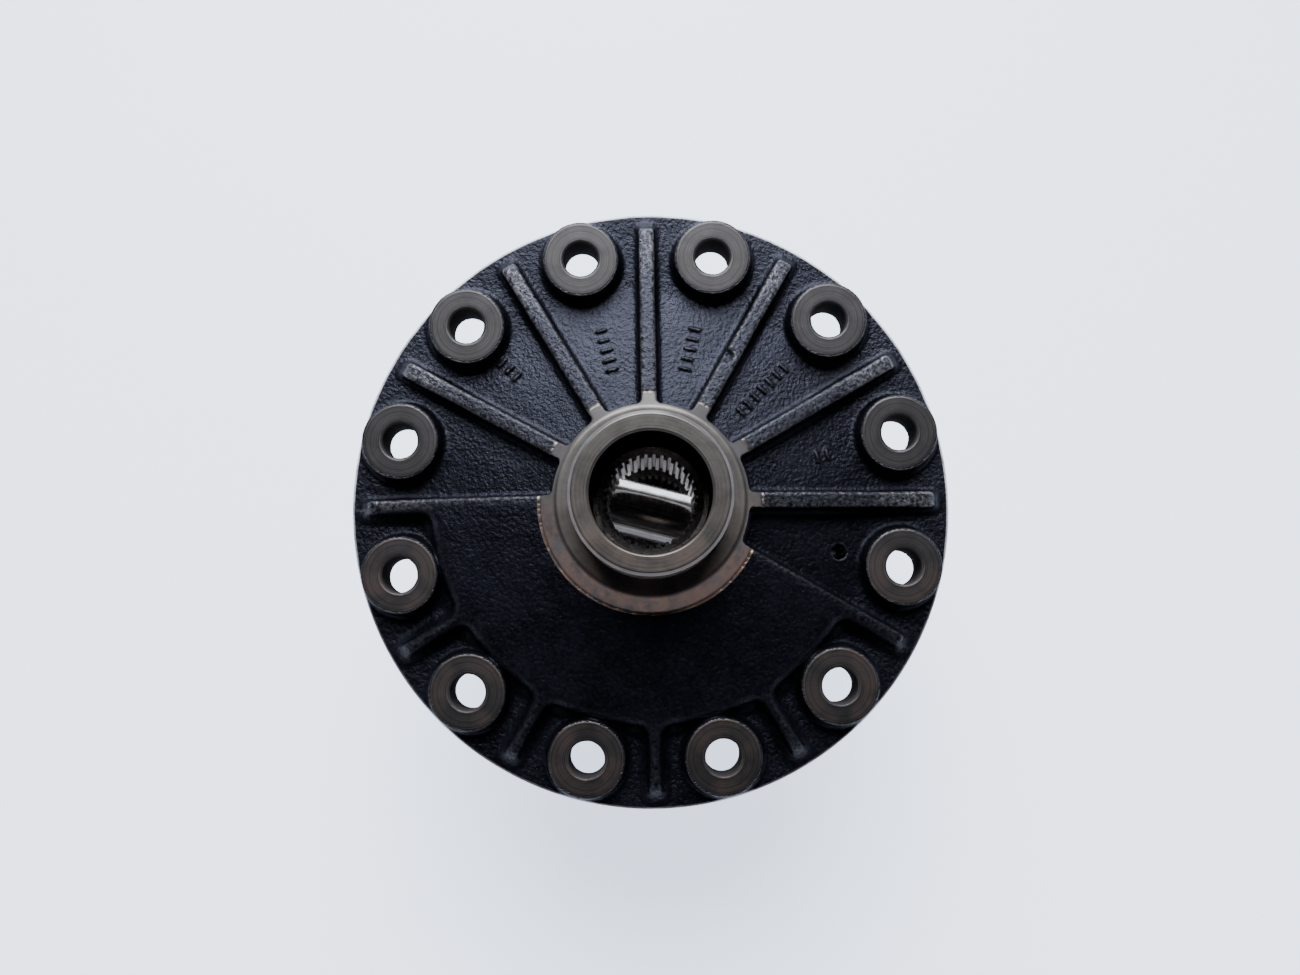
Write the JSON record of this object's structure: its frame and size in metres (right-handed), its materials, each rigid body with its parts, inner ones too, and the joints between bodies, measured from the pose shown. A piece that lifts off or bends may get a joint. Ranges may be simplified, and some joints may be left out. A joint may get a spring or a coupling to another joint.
{
  "type": "differential gear assembly",
  "caption": "Open axle differential: one-piece flanged case with a ribbed web and windows, bevel side gears and pinions on a locked cross shaft, with thrust washers.",
  "frame": {"origin": "on the axle axis, in the plane of the face that the ring gear seats on, at the centre of its bolt circle", "axes": "+Z along the axle axis from the ring gear seat through the flange towards the flange-side journal; +X along the cross shaft towards the end that the lock pin holds; -Y towards the thickened side of the web and the wider window"},
  "size_m": [0.256, 0.256, 0.196],
  "materials": {
    "case_casting": "as-cast, black coated; journals, shoulders and bolt seats turned bare",
    "shaft_steel": "ground",
    "pin_steel": "spring steel, dark",
    "gear_steel": "case-hardened, forged teeth, turned faces",
    "washer_steel": "phosphated",
    "bush_bronze": "turned"
  },
  "bodies": {
    "case": {"differential_case": "case_casting", "pinion_shaft": "shaft_steel", "shaft_lock_pin": "pin_steel", "side_gear_washer_flange_side": "washer_steel", "side_gear_washer_far_side": "washer_steel", "pinion_washer_lock_pin_side": "washer_steel", "pinion_washer_plain_side": "washer_steel"},
    "side_gear_flange": {"side_gear_flange_side": "gear_steel"},
    "side_gear_far": {"side_gear_far_side": "gear_steel"},
    "pinion_lock_pin": {"pinion_gear_lock_pin_side": "gear_steel", "pinion_bush_lock_pin_side": "bush_bronze"},
    "pinion_plain": {"pinion_gear_plain_side": "gear_steel", "pinion_bush_plain_side": "bush_bronze"}
  },
  "joints": [
    {"name": "side_gear_flange_spin", "type": "hinge", "parent": "case", "child": "side_gear_flange", "pos_m": [0, 0, -0.032], "axis": [0, 0, 1], "continuous": true},
    {"name": "side_gear_far_spin", "type": "hinge", "parent": "case", "child": "side_gear_far", "pos_m": [0, 0, -0.032], "axis": [0, 0, 1], "continuous": true},
    {"name": "pinion_lock_pin_spin", "type": "hinge", "parent": "case", "child": "pinion_lock_pin", "pos_m": [0, 0, -0.032], "axis": [1, 0, 0], "continuous": true},
    {"name": "pinion_plain_spin", "type": "hinge", "parent": "case", "child": "pinion_plain", "pos_m": [0, 0, -0.032], "axis": [1, 0, 0], "continuous": true}
  ],
  "couplings": [
    {"joint": "side_gear_far_spin", "follows": "side_gear_flange_spin", "ratio": -1},
    {"joint": "pinion_lock_pin_spin", "follows": "side_gear_flange_spin", "ratio": -1.6},
    {"joint": "pinion_plain_spin", "follows": "side_gear_flange_spin", "ratio": 1.6}
  ]
}
